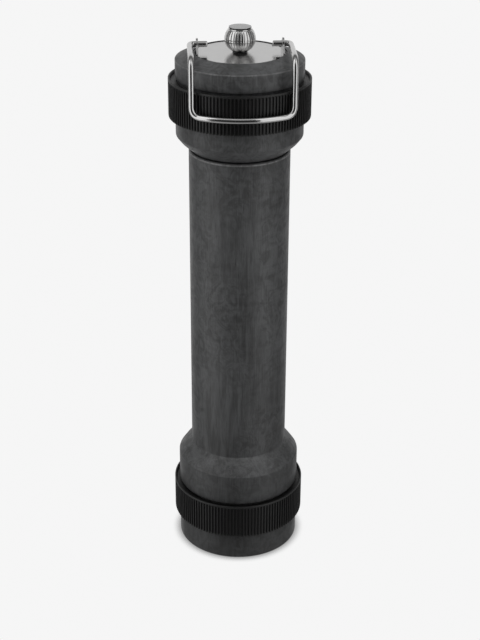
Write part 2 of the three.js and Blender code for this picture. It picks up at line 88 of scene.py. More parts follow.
TAB_SIN = 0.52  # the sine of the widest angle that a tab reaches, from X
TAB_EASE = 0.06  # the range of sines over which the ledge widens
TAB_START_X = 17.4
TAB_HALF_WIDTH = 10.7
TAB_CORNER_X = 20.4
EAR_X = 21.9
EAR_THICKNESS = 1
EAR_HALF_WIDTH = 7.2
EAR_TOP_R = 3
PIVOT_Z = 291.1
WIRE_R = 1.5
BAIL_TAIL_X = 17
BAIL_LEG_X = 25.6
BAIL_LEG_Y = -30.4
BAIL_BAR_Z = 262.4
BAIL_BOW_Y = -38.65
BAIL_EAR_BEND = 2.6
BAIL_KNEE_BEND = 8
BAIL_CORNER_BEND = 5.2
KNOB_FOOT_Z = PLATE_TOP_Z + GAP
KNOB_NECK_R = 3.7
KNOB_NECK_HEIGHT = 0.6
KNOB_R = 8
KNOB_WIDE_Z = 293.5
KNOB_BELOW = 6.9  # the ball's half height, from its widest place down
KNOB_ABOVE = 8.1  # and up
KNOB_TOP_Z = 299.2
KNOB_FLUTES = 28
FLUTE_DEPTH = 0.4
FLUTE_SHARE = 0.34  # of the pitch that a groove takes
RIB_CROWN = 0.15  # how much of the depth the ribs' own curve takes
KNOB_BORE_R = 2.7
KNOB_ROWS = 28
FLUTE_SIDES = 20
LIP_R = 6  # the plain ring at the top of the knob
LIP_HEIGHT = 0.5
LIP_NECK_R = LIP_R - 0.35
LIP_EDGE = 0.12
CAP_R = 5.75
CAP_EDGE = 0.24  # the thickness of the cap's rim
CAP_RIM_WIDTH = 1.4
CAP_STEM_DEPTH = 1.3
TOTAL_HEIGHT = 300


# ---- Mesh code ----
FILLET_LIMIT = 0.48  # of an edge, so that two fillets on it never meet
MERGE_DISTANCE = 1e-4
ON_AXIS = 1e-6  # a radius under this is a single point
DOME_LENGTH = 0.35  # of a wire's radius
DOME_FLAT = 0.3  # how much of the last step of a dome is left flat


def rounded(corners, steps=5):
    """A closed outline of (x, y) points from (x, y) or (x, y, fillet) corners."""
    points = []
    count = len(corners)
    for i, corner in enumerate(corners):
        here = Vector(corner[:2])
        fillet = corner[2] if len(corner) > 2 else 0
        if not fillet:
            points.append(here)
            continue
        before = Vector(corners[i - 1][:2]) - here
        after = Vector(corners[(i + 1) % count][:2]) - here
        half = before.angle(after) / 2
        reach = min(fillet / math.tan(half), FILLET_LIMIT * before.length, FILLET_LIMIT * after.length)
        start = here + before.normalized() * reach
        end = here + after.normalized() * reach
        for step in range(steps + 1):
            t = step / steps
            points.append(start * (1 - t) ** 2 + here * 2 * t * (1 - t) + end * t * t)
    return points


def finished(name, bm, sharp=35):
    """A mesh object from bm, in metres, smooth but for edges sharper than this many degrees."""
    bmesh.ops.remove_doubles(bm, verts=bm.verts, dist=MERGE_DISTANCE)
    bmesh.ops.recalc_face_normals(bm, faces=bm.faces)
    bmesh.ops.scale(bm, vec=(MM, MM, MM), verts=bm.verts)
    mesh = bpy.data.meshes.new(name)
    bm.to_mesh(mesh)
    bm.free()
    mesh.shade_smooth()
    mesh.set_sharp_from_angle(angle=math.radians(sharp))
    obj = bpy.data.objects.new(name, mesh)
    bpy.context.scene.collection.objects.link(obj)
    return obj


def turned(profile, sides, radius_at=lambda radius, z, angle: radius):
    """A closed (radius, z) outline turned about Z. radius_at may move a point in or out."""
    bm = bmesh.new()
    rings = []
    for radius, z in profile:
        ring = []
        for i in range(1 if radius < ON_AXIS else sides):
            angle = 2 * math.pi * i / sides
            r = radius_at(radius, z, angle)
            ring.append(bm.verts.new((r * math.cos(angle), r * math.sin(angle), z)))
        rings.append(ring)
    for ring, after in zip(rings, rings[1:] + rings[:1]):
        if len(ring) == 1 and len(after) == 1:
            continue
        for i in range(sides):
            j = (i + 1) % sides
            quad = [ring[i % len(ring)], ring[j % len(ring)], after[j % len(after)], after[i % len(after)]]
            bm.faces.new(list(dict.fromkeys(quad)))
    return bm


def smooth_step(t):
    return t * t * (3 - 2 * t)


def extruded(outline, depth):
    """A closed outline in XY with a flat face at z = 0 and another at z = depth."""
    bm = bmesh.new()
    low = [bm.verts.new((x, y, 0)) for x, y in outline]
    high = [bm.verts.new((x, y, depth)) for x, y in outline]
    bm.faces.new(low)
    bm.faces.new(high)
    for i in range(len(outline)):
        j = (i + 1) % len(outline)
        bm.faces.new((low[i], low[j], high[j], high[i]))
    return bm


def tube(path, radius, sides=24, dome=4):
    """A round wire along a path of points, with domed ends."""
    bm = bmesh.new()
    befores = path[:1] + path[:-1]
    afters = path[1:] + path[-1:]
    tangents = [(after - before).normalized() for before, after in zip(befores, afters)]
    normal = tangents[0].orthogonal().normalized()
    stations = []
    for point, tangent in zip(path, tangents):
        normal = (normal - tangent * normal.dot(tangent)).normalized()
        stations.append((point, tangent, normal.copy(), radius))
    caps = []
    for (point, tangent, across, _), sign in ((stations[0], -1), (stations[-1], 1)):
        cap = []
        for step in range(1, dome + 1):
            turn = math.pi / 2 * step / (dome + DOME_FLAT)
            out = point + tangent * sign * radius * DOME_LENGTH * math.sin(turn)
            cap.append((out, tangent, across, radius * math.cos(turn)))
        caps.append(cap)
    stations = caps[0][::-1] + stations + caps[1]
    rings = []
    for point, tangent, across, r in stations:
        other = tangent.cross(across)
        ring = []
        for i in range(sides):
            angle = 2 * math.pi * i / sides
            ring.append(bm.verts.new(point + (across * math.cos(angle) + other * math.sin(angle)) * r))
        rings.append(ring)
    for ring, after in zip(rings, rings[1:]):
        for i in range(sides):
            j = (i + 1) % sides
            bm.faces.new((ring[i], ring[j], after[j], after[i]))
    bm.faces.new(rings[0])
    bm.faces.new(rings[-1])
    return bm


def place(obj, material, slot, body, *nodes):
    """Gives a piece its material and body, and hides the CAD nodes that it stands for. The slot is not
    used.
    """
    obj.data.materials.append(material)
    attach(obj, body)
    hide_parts(*nodes)


# ---- Materials ----
WOOD_DARK = 0.018
WOOD_LIGHT = 0.076
# painted highlight and wear on the turned edges
WOOD_WEAR_AND_HIGHLIGHT = 0.2
WOOD_COOL = -0.025  # the light tone's warmth
WOOD_PORE = WOOD_DARK / 3
FOOT_SHADE = 0.8  # how light the painted shade leaves the foot, against the tube
FOOT_SHADE_Z = (0.02, 0.17)  # the heights, in metres, that this fades over
WALL_SHADE = 0.82  # painted shade on the base's wall
CONE_LIGHT = 1.18  # painted light on the base's cone, which faces up
CONE_TO_TUBE = 0.85  # about 1 / CONE_LIGHT, over the cone, so that the painted light ends where the tube starts
RUBBER_GROOVE = 0.001
# the ribs' crests, lighter with a painted highlight
RUBBER_CREST_HIGHLIGHT = (0.0015, 0.004)
CAP_RING_PITCH = 0.00022  # metres


class Nodes:
    """Short ways to make nodes in a tree."""

    def __init__(self, tree):
        self.tree = tree
        tree.nodes.clear()

    def made(self, kind, inputs=None, **settings):
        """A node with its settings, and its inputs set or linked."""
        node = self.tree.nodes.new(kind)
        for key, value in settings.items():
            setattr(node, key, value)
        for key, value in (inputs or {}).items():
            if isinstance(value, bpy.types.NodeSocket):
                self.tree.links.new(value, node.inputs[key])
            else:
                node.inputs[key].default_value = value
        return node

    def spread(self, value, low, high, to_low=0, to_high=1):
        """The value from low to high, spread smoothly over to_low to to_high."""
        inputs = {"Value": value, "From Min": low, "From Max": high, "To Min": to_low, "To Max": to_high}
        return self.made("ShaderNodeMapRange", inputs, interpolation_type="SMOOTHSTEP").outputs["Result"]

    def maths(self, operation, first, second=0.0):
        return self.made("ShaderNodeMath", {0: first, 1: second}, operation=operation).outputs[0]

    def choice(self, amount, first, second):
        return self.made("ShaderNodeMixShader", {0: amount, 1: first, 2: second}).outputs[0]


class Finish(Nodes):
    """A Principled material, and short ways to make the nodes that drive it."""

    def __init__(self, name, **constants):
        self.material = bpy.data.materials.new(name)
        self.material.use_nodes = True
        super().__init__(self.material.node_tree)
        self.shader = self.made("ShaderNodeBsdfPrincipled")
        self.made("ShaderNodeOutputMaterial", {"Surface": self.shader.outputs["BSDF"]})
        for socket, value in constants.items():
            self.shader.inputs[socket.replace("_", " ")].default_value = value
        self.place = self.made("ShaderNodeTexCoord").outputs["Object"]

    def stretched(self, scale):
        """The place on the object, with each axis scaled."""
        return self.made("ShaderNodeMapping", {"Vector": self.place, "Scale": scale}).outputs["Vector"]

    def noise(self, scale, detail=2, roughness=0.5, distortion=0):
        """Noise from about 0.3 to 0.7, with its own scale along each axis, in features per metre."""
        inputs = {"Vector": self.stretched(scale), "Scale": 1, "Detail": detail}
        inputs.update({"Roughness": roughness, "Distortion": distortion})
        return self.made("ShaderNodeTexNoise", inputs).outputs["Fac"]

    def blend(self, amount, first, second):
        return self.made("ShaderNodeMix", {0: amount, 6: first, 7: second}, data_type="RGBA").outputs[2]

    def blend_value(self, amount, first, second):
        return self.made("ShaderNodeMix", {0: amount, 2: first, 3: second}, data_type="FLOAT").outputs[0]

    def radius(self):
        """The distance from the mill's axis, in metres."""
        flat = self.stretched((1, 1, 0))
        return self.made("ShaderNodeVectorMath", {0: flat}, operation="LENGTH").outputs["Value"]

    def height(self):
        return self.made("ShaderNodeSeparateXYZ", {"Vector": self.place}).outputs["Z"]

    def bump(self, height, strength, distance, below=None):
        inputs = {"Height": height, "Strength": strength, "Distance": distance}
        if below is not None:
            inputs["Normal"] = below
        return self.made("ShaderNodeBump", inputs).outputs["Normal"]

    def drive(self, socket, value):
        self.tree.links.new(value, self.shader.inputs[socket])


def grey(level, warmth=0.0):
    """A linear grey, slightly warm or cool."""
    return (level * (1 + warmth), level, level * (1 - warmth), 1)


def edge_highlight_and_wear(f, broken_by):
    """How light the edges are, in broken lines: painted highlights under the seam and on the head's top
    edge, and worn stain on the foot's edge.
    """
    # the seam's and the head's bands are painted highlights, the foot's band is wear
    seam_edge = (SEAM_Z - 0.8, 0.8, 1.0)
    head_edge = (HEAD_TOP_EDGE_Z - 0.45, 0.6, 0.55)
    foot_edge = (0.3, 0.5, 0.4)
    height = f.height()
    wear_and_highlight = 0.0
    for z, reach, amount in (seam_edge, head_edge, foot_edge):
        away = f.maths("ABSOLUTE", f.maths("SUBTRACT", height, z * MM))
        wear_and_highlight = f.maths("MAXIMUM", f.spread(away, 0, reach * MM, amount, 0), wear_and_highlight)
    return f.maths("MULTIPLY", wear_and_highlight, f.spread(broken_by, 0, 1, 0.45, 1))


def painted_light_by_height(f):
    """Painted light and shade by height: painted shade towards the foot, painted shade on the base's wall
    and painted light on its cone, changing at both edges of the cone.
    """
    height = f.height()
    towards_foot = f.spread(height, *FOOT_SHADE_Z, FOOT_SHADE, 1)
    shoulder = ((BASE_SHOULDER_Z - 0.8) * MM, (BASE_SHOULDER_Z + 0.4) * MM)
    over_wall = f.spread(height, *shoulder, WALL_SHADE, CONE_LIGHT)
    tube_start = ((TUBE_START_Z - 0.3) * MM, (TUBE_START_Z + 0.5) * MM)
    over_cone = f.spread(height, *tube_start, 1, CONE_TO_TUBE)
    return f.maths("MULTIPLY", towards_foot, f.maths("MULTIPLY", over_wall, over_cone))


def graphite_wood():
    """Graphite stain on figured wood, under a satin lacquer.

    In patches the figure is curly with a cross ripple, and elsewhere it is upright streaks. Clouds, fine
    lines and pores go over both. Each spread takes the part of the noise between its two levels.
    """
    f = Finish("graphite_wood", Specular_IOR_Level=0.5)
    cloud = f.spread(f.noise((42, 42, 18), 2, 0.5, 0.4), 0.32, 0.68)
    patches = f.spread(f.noise((30, 30, 14), 1), 0.32, 0.5)
    curly = f.spread(f.noise((140, 140, 95), 5, 0.68, 2.2), 0.38, 0.6)
    ripple = f.spread(f.noise((60, 60, 230), 3, 0.6, 0.9), 0.38, 0.62)
    streaks = f.spread(f.noise((300, 300, 34), 3, 0.6, 0.5), 0.36, 0.64)
    fine = f.spread(f.noise((1500, 1500, 70), 2, 0.6), 0.36, 0.64)
    pores = f.spread(f.noise((3200, 3200, 130), 2, 0.5), 0.62, 0.7)
    figured = f.maths("ADD", f.maths("MULTIPLY", curly, 0.7), f.maths("MULTIPLY", ripple, 0.3))
    figure = f.blend_value(patches, streaks, figured)
    grain = f.maths("ADD", f.maths("MULTIPLY", figure, 0.6), f.maths("MULTIPLY", fine, 0.13))
    # the grain's lightness, times the painted light and shade by height
    light = f.maths("MULTIPLY", f.maths("ADD", f.maths("MULTIPLY", cloud, 0.27), grain), painted_light_by_height(f))
    tone = f.blend(light, grey(WOOD_DARK), grey(WOOD_LIGHT, WOOD_COOL))
    # painted highlights on the seam's and the head's edges, worn stain on the foot's edge
    tone = f.blend(edge_highlight_and_wear(f, streaks), tone, grey(WOOD_WEAR_AND_HIGHLIGHT))
    f.drive("Base Color", f.blend(f.maths("MULTIPLY", pores, 0.6), tone, grey(WOOD_PORE)))
    f.drive("Roughness", f.spread(light, 0, 1, 0.53, 0.43))
    lines = f.bump(fine, 0.12, 0.0002)
    f.drive("Normal", f.bump(pores, -0.25, 0.0001, lines))
    return f.material


def black_rubber():
    """Matte moulded rubber: a patchy painted highlight on the ribs' crests, black in the grooves."""
    f = Finish("black_rubber", Specular_IOR_Level=0.55)
    crest = f.spread(f.radius(), (RING_R - RIB_DEPTH / 2) * MM, RING_R * MM)
    cloud = f.noise((160, 160, 90), 3, 0.6)
    speckle = f.noise((4200, 4200, 4200), 2, 0.6)
    # the crests' lighter, patchy colour is a painted highlight
    crest_highlight = f.blend(f.spread(cloud, 0.3, 0.7), *(grey(level) for level in RUBBER_CREST_HIGHLIGHT))
    f.drive("Base Color", f.blend(crest, grey(RUBBER_GROOVE), crest_highlight))
    f.drive("Roughness", f.spread(speckle, 0.3, 0.7, 0.4, 0.54))
    f.drive("Normal", f.bump(speckle, 0.2, 0.0001))
    return f.material


def satin_steel(name, level, smooth, rough, brush=(2600, 2600, 2600)):
    """Metal with fine brush lines, faint clouds and a few marks; smooth and rough bound its roughness."""
    f = Finish(name, Metallic=1.0)
    lines = f.noise(brush, 3, 0.65)
    cloud = f.noise((70, 70, 70), 3, 0.55, 0.4)
    marks = f.spread(f.noise((240, 1900, 240), 2, 0.5, 0.8), 0.66, 0.74)
    tone = f.blend(f.spread(cloud, 0.3, 0.7), grey(level * 0.94, 0.004), grey(level, 0.006))
    f.drive("Base Color", f.blend(f.maths("MULTIPLY", marks, 0.25), tone, grey(level * 0.7)))
    uneven = f.maths("ADD", f.maths("MULTIPLY", lines, 0.7), f.maths("MULTIPLY", cloud, 0.3))
    f.drive("Roughness", f.spread(uneven, 0.35, 0.65, smooth, rough))
    f.drive("Normal", f.bump(lines, 0.06, 0.0001))
    return f.material


def plain_plastic(name, level):
    """Moulded plastic with a fine spark-eroded skin."""
    f = Finish(name, Specular_IOR_Level=0.4)
    skin = f.noise((3600, 3600, 3600), 2, 0.6)
    cloud = f.spread(f.noise((120, 120, 120), 2), 0.3, 0.7)
    f.drive("Base Color", f.blend(cloud, grey(level * 0.8), grey(level * 1.2)))
    f.drive("Roughness", f.spread(skin, 0.3, 0.7, 0.4, 0.55))
    f.drive("Normal", f.bump(skin, 0.15, 0.0001))
    return f.material


def turned_cap():
    """Plated metal with the fine rings of a turned face."""
    f = Finish("turned_cap", Metallic=1.0)
    rings = f.maths("SINE", f.maths("MULTIPLY", f.radius(), 2 * math.pi / CAP_RING_PITCH))
    cloud = f.noise((320, 320, 320), 2, 0.5)
    f.drive("Base Color", f.blend(f.spread(cloud, 0.3, 0.7), grey(0.36), grey(0.44)))
    f.drive("Roughness", f.spread(cloud, 0.3, 0.7, 0.22, 0.3))
    f.drive("Normal", f.bump(rings, 0.03, 0.00004))
    return f.material


materials = {
    "graphite_wood": graphite_wood(),
    "black_rubber": black_rubber(),
    "brushed_steel": satin_steel("brushed_steel", 0.6, 0.2, 0.27, (1400, 5200, 1400)),
    "bright_steel": satin_steel("bright_steel", 0.66, 0.1, 0.17),
    "chrome_plate": satin_steel("chrome_plate", 0.72, 0.04, 0.09),
    "turned_cap": turned_cap(),
    "grinder_steel": satin_steel("grinder_steel", 0.2, 0.35, 0.5, (900, 900, 6000)),
    "spring_steel": satin_steel("spring_steel", 0.38, 0.22, 0.34),
    "aluminium": satin_steel("aluminium", 0.6, 0.3, 0.42, (5200, 5200, 300)),
    "black_plastic": plain_plastic("black_plastic", 0.012),
}


# ---- Wooden body and head ----
def wood_body():
    ring_top = RING_LOWER_Z + RING_HEIGHT
    cone_z = (BASE_SHOULDER_Z + TUBE_START_Z) / 2
    corners = [
        (FOOT_RECESS_R, 0, 0.6),
        (FOOT_R, 0, 0.4),
        (FOOT_R, RING_LOWER_Z - GAP, 0.3),
        (GROOVE_R, RING_LOWER_Z - GAP),
        (GROOVE_R, ring_top + GAP),
        (FOOT_R, ring_top + GAP, 0.3),
        (FOOT_R, BASE_SHOULDER_Z, 1),
        ((FOOT_R + TUBE_R) / 2 + CONE_BULGE, cone_z + CONE_BULGE, CONE_ROUND),
        (TUBE_R, TUBE_START_Z, 0.5),
        (TUBE_R, SEAM_Z - SEAM_BEVEL, 0.2),
        (TUBE_R - SEAM_BEVEL, SEAM_Z, 0.1),
        (BORE_R, SEAM_Z, 0.4),
        (BORE_R, POCKET_TOP_Z),
        (POCKET_R, POCKET_TOP_Z),
        (POCKET_R, FOOT_RECESS_Z),
        (FOOT_RECESS_R, FOOT_RECESS_Z),
    ]
    return finished("wood_body_turned", turned(rounded(corners), FINE), sharp=28)


def round_tabs(radius, z, angle):
    """Widens the ledge round the disc to the pocket's full width, beside the disc's two tabs."""
    if radius != LEDGE_R:
        return radius
    t = min(1, max(0, (TAB_SIN - abs(math.sin(angle))) / TAB_EASE + 1))
    return LEDGE_R + (HEAD_RIM_R - LEDGE_R) * t


def wood_head():
    bottom = SEAM_Z + GAP
    edge = bottom + SEAM_STEP
    cone_z = (HEAD_SHOULDER_Z + edge + SEAM_UNDERCUT) / 2
    ring_top = RING_UPPER_Z + RING_HEIGHT
    floor = PLATE_TOP_Z - PLATE_THICKNESS - GAP
    corners = [
        (SHAFT_BORE_R, bottom - SPIGOT_LENGTH, 0.3),
        (SPIGOT_R, bottom - SPIGOT_LENGTH, 0.5),
        (SPIGOT_R, bottom),
        (SEAM_STEP_R, bottom, 0.2),
        (SEAM_STEP_R + SEAM_STEP, edge, 0.2),
        (TUBE_R - SEAM_UNDERCUT, edge),
        (TUBE_R, edge + SEAM_UNDERCUT, 0.3),
        ((HEAD_R + TUBE_R) / 2 + CONE_BULGE, cone_z - CONE_BULGE, CONE_ROUND),
        (HEAD_R, HEAD_SHOULDER_Z, 2.2),
        (HEAD_R, RING_UPPER_Z - GAP, 0.3),
        (GROOVE_R, RING_UPPER_Z - GAP),
        (GROOVE_R, ring_top + GAP),
        (HEAD_R, ring_top + GAP, 0.3),
        (HEAD_R, HEAD_TOP_EDGE_Z, 1),
        (HEAD_RIM_R, HEAD_RIM_Z, 0.6),
        (HEAD_RIM_R, PLATE_TOP_Z - LEDGE_DEPTH),
        (LEDGE_R, PLATE_TOP_Z - LEDGE_DEPTH),
        (LEDGE_R, floor),
        (SHAFT_BORE_R, floor, 0.3),
    ]
    return finished("wood_head_turned", turned(rounded(corners), FINE, round_tabs), sharp=28)


place(wood_body(), materials["graphite_wood"], "graphite_wood", "body", "wood_body")
place(wood_head(), materials["graphite_wood"], "graphite_wood", "head", "wood_head")


# ---- Rubber grip rings ----
RIB_SAMPLES = (0.0, 0.13, 0.22, 0.32, 0.5, 0.68, 0.78, 0.87)  # across one pitch, from the middle of a crest
CREST_HALF = 0.1  # of the pitch
GROOVE_HALF = 0.2
BAND_HEIGHT = 1.1  # the smooth band over the ribs
BAND_THICKNESS = 1.3
CHANNEL_DEPTH = 1.5  # between the band and the wood


def rib_dip(share):
    """How deep the rib profile is at this share of a pitch, from 0 on the crest to 1 in the groove."""
    away = min(share, 1 - share)
    return smooth_step(min(1, max(0, (away - CREST_HALF) / (0.5 - GROOVE_HALF - CREST_HALF))))


def grip_ring(name, bottom):
    """A rubber ring: rounded ribs, a smooth band over them, a channel between band and wood."""
    bm = bmesh.new()
    top = RING_HEIGHT
    ribs_top = top - BAND_HEIGHT
    inner = GROOVE_R + GAP
    # Each row: height, radius on the crest, and how much of the rib's depth shows.
    rows = [
        (0, RING_R - 0.35, 1),
        (0.35, RING_R - 0.05, 1),
        (0.9, RING_R, 1),
        (ribs_top - 1.2, RING_R, 1),
        (ribs_top - 0.5, RING_R, 0.95),
        (ribs_top - 0.1, RING_R, 0.3),
        (ribs_top + 0.15, RING_R, 0),
        (top - 0.3, RING_R, 0),
        (top - 0.1, RING_R - 0.06, 0),
        (top, RING_R - 0.25, 0),
        (top, RING_R - 0.7, 0),
        (top - 0.12, RING_R - 0.9, 0),
        (top - CHANNEL_DEPTH, RING_R - BAND_THICKNESS, 0),
        (top - CHANNEL_DEPTH, inner, 0),
        (0.3, inner, 0),
        (0, inner + 0.3, 0),
    ]
    angles = [rib + share for rib in range(RIBS) for share in RIB_SAMPLES]
    rings = []
    for z, radius, depth in rows:
        ring = []
        for at in angles:
            r = radius - RIB_DEPTH * depth * rib_dip(at % 1)
            turn = 2 * math.pi * at / RIBS
            ring.append(bm.verts.new((r * math.cos(turn), r * math.sin(turn), bottom + z)))
        rings.append(ring)
    for ring, after in zip(rings, rings[1:] + rings[:1]):
        for i in range(len(angles)):
            j = (i + 1) % len(angles)
            bm.faces.new((ring[i], ring[j], after[j], after[i]))
    return finished(name, bm, sharp=50)


lower_ring = grip_ring("lower_grip_ribbed", RING_LOWER_Z)
place(lower_ring, materials["black_rubber"], "black_rubber", "body", "lower_grip_ring")
upper_ring = grip_ring("upper_grip_ribbed", RING_UPPER_Z)
place(upper_ring, materials["black_rubber"], "black_rubber", "head", "upper_grip_ring")


# ---- Steel top plate ----
DISC_STEPS = 72  # in each of the disc's two arcs
EAR_STEPS = 20
EAR_FOOT = 0.8  # how high the ear's sides stand over the disc before they slope in
SHAFT_HOLE_SIDES = 48
WIRE_HOLE_SIDES = 32
PLATE_SHARP = math.radians(30)
PLATE_BEVEL = 0.16


def plate_outline():
    """The disc with a tab on each side."""
    half = math.acos(TAB_START_X / PLATE_R)
    tab_end = EAR_X + EAR_THICKNESS / 2
    points = []
    for side in (1, -1):
        points.append((side * tab_end, -side * EAR_HALF_WIDTH))
        points.append((side * tab_end, side * EAR_HALF_WIDTH))
        points.append((side * TAB_CORNER_X, side * TAB_HALF_WIDTH))
        points.append((side * TAB_START_X, side * TAB_HALF_WIDTH))
        start = half if side > 0 else math.pi + half
        sweep = math.pi - 2 * half
        for i in range(DISC_STEPS + 1):
            turn = start + sweep * i / DISC_STEPS
            points.append((PLATE_R * math.cos(turn), PLATE_R * math.sin(turn)))
        points.append((-side * TAB_START_X, side * TAB_HALF_WIDTH))
        points.append((-side * TAB_CORNER_X, side * TAB_HALF_WIDTH))
    return points


def combined(obj, other, operation):
    """Cuts the other object out of obj (DIFFERENCE) or adds it (UNION), and removes the other."""
    boolean = obj.modifiers.new("combine", "BOOLEAN")
    boolean.operation = operation
    boolean.solver = "EXACT"
    boolean.object = other
    graph = bpy.context.evaluated_depsgraph_get()
    mesh = bpy.data.meshes.new_from_object(obj.evaluated_get(graph))
    obj.modifiers.clear()
    obj.data = mesh
    bpy.data.objects.remove(other)


def cylinder_tool(radius, bottom, top, sides, along_x=False):
    """A solid cylinder on the mill's axis, or on the bail's axis."""
    bm = turned([(0, bottom), (radius, bottom), (radius, top), (0, top)], sides)
    if along_x:
        for vert in bm.verts:
            x, y, z = vert.co
            vert.co = (z, y, x + PIVOT_Z)
    return finished("tool", bm)


def ear(side):
    """A tab's upright part, across X, wide at its foot and round at its top."""
    bottom = PLATE_TOP_Z - PLATE_THICKNESS
    foot = PLATE_TOP_Z + EAR_FOOT
    outline = [(-EAR_HALF_WIDTH, bottom), (EAR_HALF_WIDTH, bottom), (EAR_HALF_WIDTH, foot)]
    for i in range(EAR_STEPS + 1):
        turn = math.pi * i / EAR_STEPS
        outline.append((EAR_TOP_R * math.cos(turn), PIVOT_Z + EAR_TOP_R * math.sin(turn)))
    outline.append((-EAR_HALF_WIDTH, foot))
    bm = extruded(outline, EAR_THICKNESS)
    for vert in bm.verts:
        y, z, x = vert.co
        vert.co = (side * EAR_X - EAR_THICKNESS / 2 + x, y, z)
    return finished("ear", bm)


def top_plate():
    """The disc with its two ears, the shaft's hole and the bail's holes. The bevel stays live."""
    bottom = PLATE_TOP_Z - PLATE_THICKNESS
    bm = extruded(plate_outline(), PLATE_THICKNESS)
    bmesh.ops.translate(bm, vec=(0, 0, bottom), verts=bm.verts)
    plate = finished("top_plate_bent", bm)
    shaft_hole = cylinder_tool(PLATE_HOLE_R, bottom - 1, PLATE_TOP_Z + 1, SHAFT_HOLE_SIDES)
    wire_holes = cylinder_tool(WIRE_R + GAP, -2 * EAR_X, 2 * EAR_X, WIRE_HOLE_SIDES, along_x=True)
    combined(plate, ear(-1), "UNION")
    combined(plate, ear(1), "UNION")
    combined(plate, shaft_hole, "DIFFERENCE")
    combined(plate, wire_holes, "DIFFERENCE")
    plate.data.shade_smooth()
    plate.data.set_sharp_from_angle(angle=PLATE_SHARP)
    bevel = plate.modifiers.new("edge", "BEVEL")
    bevel.width = PLATE_BEVEL * MM
    bevel.segments = 2
    bevel.limit_method = "ANGLE"
    bevel.angle_limit = PLATE_SHARP
    bevel.harden_normals = True
    return plate


place(top_plate(), materials["brushed_steel"], "brushed_steel", "head", "top_plate")


# ---- Wire bail ----
def bent_path(corners, straight=6, bent=12):
    """Straight runs joined by round bends, from (point, bend) corners."""
    start = corners[0][0]
    path = [start]
    for i in range(1, len(corners)):
        point, bend = corners[i]
        towards = (point - start).normalized()
        bend_start = point - towards * bend
        path += [start.lerp(bend_start, (step + 1) / straight) for step in range(straight)]
        start = bend_start
        if not bend:
            continue
        away = (corners[i + 1][0] - point).normalized()
        bend_end = point + away * bend
        for step in range(bent):
            t = (step + 1) / bent
            path.append(bend_start * (1 - t) ** 2 + point * 2 * t * (1 - t) + bend_end * t * t)
        start = bend_end
    return path


BOW_POINTS = 15
BOW_REACH = 0.72  # of the half width, where the bow's last points lie
BOW_BEND = 1.2


def bail():
    """The wire: from inside one ear out, forward, down, along the bowed bar, and back the same way."""
    half = [
        (Vector((-BAIL_TAIL_X, 0, PIVOT_Z)), 0),
        (Vector((-BAIL_LEG_X, 0, PIVOT_Z)), BAIL_EAR_BEND),
        (Vector((-BAIL_LEG_X, BAIL_LEG_Y, PIVOT_Z)), BAIL_KNEE_BEND),
        (Vector((-BAIL_LEG_X, BAIL_LEG_Y, BAIL_BAR_Z)), BAIL_CORNER_BEND),
    ]
    bow = []
    for i in range(BOW_POINTS):
        across = BOW_REACH * (2 * i / (BOW_POINTS - 1) - 1)
        y = BAIL_BOW_Y + (BAIL_LEG_Y - BAIL_BOW_Y) * across**2
        bow.append((Vector((across * BAIL_LEG_X, y, BAIL_BAR_Z)), BOW_BEND))
    mirrored = [(Vector((-p.x, p.y, p.z)), bend) for p, bend in reversed(half)]
    return finished("bail_wire", tube(bent_path(half + bow + mirrored), WIRE_R))


place(bail(), materials["bright_steel"], "bright_steel", "bail", "bail_handle")


# ---- Knob and its cap ----
def fluted(radius, z, angle):
    """Broad ribs with narrow grooves between them, which fade out at the neck and the lip."""
    proud = max(0.0, radius - LIP_R) / (KNOB_R - LIP_R)
    away = abs(2 * (KNOB_FLUTES * angle / (2 * math.pi) % 1) - 1)
    groove = max(0.0, (away - 1 + FLUTE_SHARE) / FLUTE_SHARE)
    dip = (1 - RIB_CROWN) * smooth_step(groove) + RIB_CROWN * away * away
    return radius - FLUTE_DEPTH * min(1, 3 * proud) * dip


def knob_profile():
    neck_top = KNOB_FOOT_Z + KNOB_NECK_HEIGHT
    lip_foot = KNOB_TOP_Z - LIP_HEIGHT
    points = [(KNOB_BORE_R, KNOB_FOOT_Z), (KNOB_NECK_R, KNOB_FOOT_Z), (KNOB_NECK_R, neck_top - 0.1)]
    start = -math.asin((KNOB_WIDE_Z - neck_top) / KNOB_BELOW)
    end = math.asin((lip_foot - KNOB_WIDE_Z) / KNOB_ABOVE)
    for step in range(KNOB_ROWS + 1):
        turn = start + (end - start) * step / KNOB_ROWS
        half_height = KNOB_BELOW if turn < 0 else KNOB_ABOVE
        points.append((KNOB_R * math.cos(turn), KNOB_WIDE_Z + half_height * math.sin(turn)))
    points += [
        (LIP_NECK_R, lip_foot + 0.02),
        (LIP_NECK_R, lip_foot + LIP_EDGE),
        (LIP_R, lip_foot + 0.15),
        (LIP_R, KNOB_TOP_Z - LIP_EDGE),
        (LIP_R - LIP_EDGE, KNOB_TOP_Z),
        (KNOB_BORE_R, KNOB_TOP_Z),
    ]
    return points


def cap():
    bottom = KNOB_TOP_Z + GAP
    stem_r = KNOB_BORE_R - GAP
    corners = [
        (0, bottom - CAP_STEM_DEPTH),
        (stem_r, bottom - CAP_STEM_DEPTH),
        (stem_r, bottom),
        (CAP_R - CAP_RIM_WIDTH, bottom, 0.1),
        (CAP_R - CAP_RIM_WIDTH, TOTAL_HEIGHT - CAP_EDGE, 0.05),
        (CAP_R, TOTAL_HEIGHT - 0.2, 0.04),
        (CAP_R, TOTAL_HEIGHT - 0.06, 0.06),
        (CAP_R * 0.5, TOTAL_HEIGHT - 0.02),
        (0, TOTAL_HEIGHT),
    ]
    return finished("knob_cap_turned", turned(rounded(corners), MEDIUM), sharp=30)


